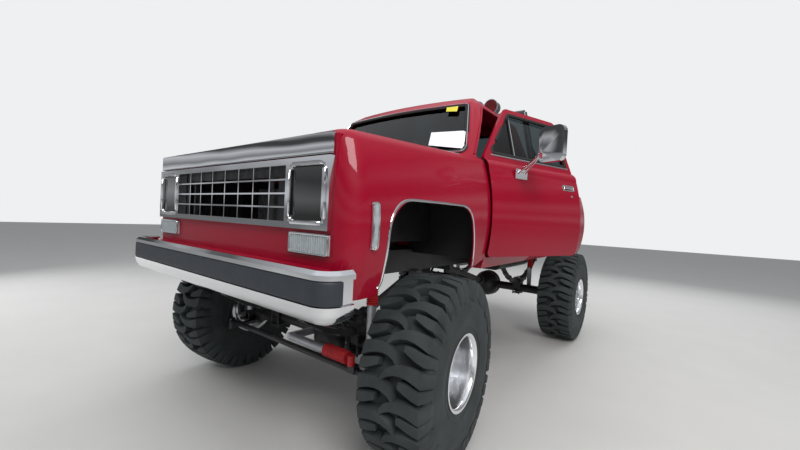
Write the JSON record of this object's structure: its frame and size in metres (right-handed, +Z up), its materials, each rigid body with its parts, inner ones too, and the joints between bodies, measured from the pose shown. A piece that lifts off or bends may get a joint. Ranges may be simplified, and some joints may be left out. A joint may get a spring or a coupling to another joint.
{
  "type": "pickup truck",
  "caption": "Lifted regular-cab pickup truck on tall deep-dish mud wheels, with leaf-sprung axles, hinged doors, hood and tailgate, and a lamp bar behind the cab.",
  "frame": {"origin": "on the ground, at the middle of the length and width", "axes": "+X to the vehicle's left, +Y rearwards along its length, +Z up"},
  "size_m": [2.799, 4.859, 2.665],
  "materials": {
    "body_paint": "deep red gloss",
    "chrome": "polished",
    "glass": "tinted",
    "tyre": "matt",
    "rim": "polished",
    "frame_paint": "black satin",
    "spring": "dark satin",
    "silver": "silver",
    "boot": "red, ribbed",
    "pad": "dark slate",
    "smoked": "smoked near black",
    "lens": "clear grey",
    "lamp_cover": "dark red",
    "tail_lens": "red lens",
    "bar_paint": "bright tube",
    "drive": "dark",
    "engine": "cast",
    "exhaust": "dull steel",
    "trim": "matt black",
    "upholstery": "dark cloth"
  },
  "bodies": {
    "body": {"bed": "body_paint", "bumper_pad": "pad", "cab": "body_paint", "cab_glass": "glass", "crossmembers": "frame_paint", "dashboard": "trim", "drivetrain": "drive", "engine": "engine", "exhaust": "exhaust", "fenders": "body_paint", "front_axle": "frame_paint", "front_bumper": "chrome", "front_panels": "frame_paint", "fuel_tanks": "frame_paint", "grille": "chrome", "headlamp_covers": "smoked", "lamp_covers": "lamp_cover", "lamp_lenses": "lens", "leaf_springs": "spring", "light_bar": "bar_paint", "nose_panel": "body_paint", "rail_left": "frame_paint", "rail_right": "frame_paint", "rear_axle": "frame_paint", "rear_bumper": "chrome", "seat": "upholstery", "shock_boots": "boot", "shocks": "silver", "steering_box": "engine", "steering_damper": "silver", "tail_lamps": "tail_lens", "valance": "body_paint"},
    "hood": {"hood": "body_paint"},
    "door_left": {"door_left": "body_paint", "door_glass_left": "glass", "mirror_left": "chrome"},
    "door_right": {"door_right": "body_paint", "door_glass_right": "glass", "mirror_right": "chrome"},
    "tailgate": {"tailgate": "body_paint"},
    "knuckle_left": {"knuckle_left": "frame_paint"},
    "knuckle_right": {"knuckle_right": "frame_paint"},
    "tie_rod": {"tie_rod": "frame_paint"},
    "damper_rod": {"damper_rod": "boot"},
    "pitman_arm": {"pitman_arm": "frame_paint"},
    "drag_link": {"drag_link": "frame_paint"},
    "steering_wheel": {"steering_wheel": "trim"},
    "wheel_front_left": {"tyre_front_left": "tyre", "rim_front_left": "rim"},
    "wheel_front_right": {"tyre_front_right": "tyre", "rim_front_right": "rim"},
    "wheel_rear_left": {"tyre_rear_left": "tyre", "rim_rear_left": "rim"},
    "wheel_rear_right": {"tyre_rear_right": "tyre", "rim_rear_right": "rim"}
  },
  "joints": [
    {"name": "steer_left", "type": "hinge", "parent": "body", "child": "knuckle_left", "pos_m": [0.71063, -1.5815, 0.512], "axis": [0, 0, 1], "range_deg": [-34, 22]},
    {"name": "steer_right", "type": "hinge", "parent": "body", "child": "knuckle_right", "pos_m": [-0.80937, -1.5815, 0.512], "axis": [0, 0, 1], "range_deg": [-34, 22]},
    {"name": "tie_rod_pivot", "type": "hinge", "parent": "knuckle_left", "child": "tie_rod", "pos_m": [0.73676, -1.83013, 0.452], "axis": [0, 0, 1], "range_deg": [-22, 34]},
    {"name": "damper_slide", "type": "slide", "parent": "body", "child": "damper_rod", "axis": [1, 0, 0], "range_m": [-0.149, 0.0965]},
    {"name": "pitman_pivot", "type": "hinge", "parent": "body", "child": "pitman_arm", "pos_m": [0.45063, -1.9315, 1.0165], "axis": [-1, 0, 0], "range_deg": [-34, 22]},
    {"name": "drag_link_pivot", "type": "hinge", "parent": "pitman_arm", "child": "drag_link", "pos_m": [0.48663, -1.94927, 0.84743], "axis": [-1, 0, 0], "range_deg": [-22, 34]},
    {"name": "steering_wheel_turn", "type": "hinge", "parent": "body", "child": "steering_wheel", "pos_m": [0.31063, -0.51983, 1.72774], "axis": [0, 0.889, 0.458], "range_deg": [-545, 353]},
    {"name": "door_left_hinge", "type": "hinge", "parent": "body", "child": "door_left", "pos_m": [0.92463, -0.9855, 1.364], "axis": [0, 0, -1], "range_deg": [-20, 40]},
    {"name": "door_right_hinge", "type": "hinge", "parent": "body", "child": "door_right", "pos_m": [-1.02337, -0.9855, 1.364], "axis": [0, 0, 1], "range_deg": [0, 60]},
    {"name": "hood_hinge", "type": "hinge", "parent": "body", "child": "hood", "pos_m": [-0.04937, -1.0815, 1.75611], "axis": [-1, 0, 0], "range_deg": [0, 50]},
    {"name": "tailgate_hinge", "type": "hinge", "parent": "body", "child": "tailgate", "pos_m": [-0.04937, 2.2995, 1.227], "axis": [-1, 0, 0], "range_deg": [0, 90]},
    {"name": "wheel_front_left_spin", "type": "hinge", "parent": "knuckle_left", "child": "wheel_front_left", "pos_m": [0.94434, -1.55694, 0.512], "axis": [0.9945, 0.1045, 0], "continuous": true},
    {"name": "wheel_front_right_spin", "type": "hinge", "parent": "knuckle_right", "child": "wheel_front_right", "pos_m": [-1.04309, -1.60606, 0.512], "axis": [0.9945, 0.1045, 0], "continuous": true},
    {"name": "wheel_rear_left_spin", "type": "hinge", "parent": "body", "child": "wheel_rear_left", "pos_m": [0.94563, 1.4035, 0.512], "axis": [1, 0, 0], "continuous": true},
    {"name": "wheel_rear_right_spin", "type": "hinge", "parent": "body", "child": "wheel_rear_right", "pos_m": [-1.04437, 1.4035, 0.512], "axis": [1, 0, 0], "continuous": true}
  ],
  "couplings": [
    {"joint": "steer_right", "follows": "steer_left", "ratio": 1},
    {"joint": "tie_rod_pivot", "follows": "steer_left", "ratio": -1},
    {"joint": "damper_slide", "follows": "steer_left", "m_per_rad": 0.25},
    {"joint": "pitman_pivot", "follows": "steer_left", "ratio": 1},
    {"joint": "drag_link_pivot", "follows": "steer_left", "ratio": -1},
    {"joint": "steering_wheel_turn", "follows": "steer_left", "ratio": 16}
  ]
}
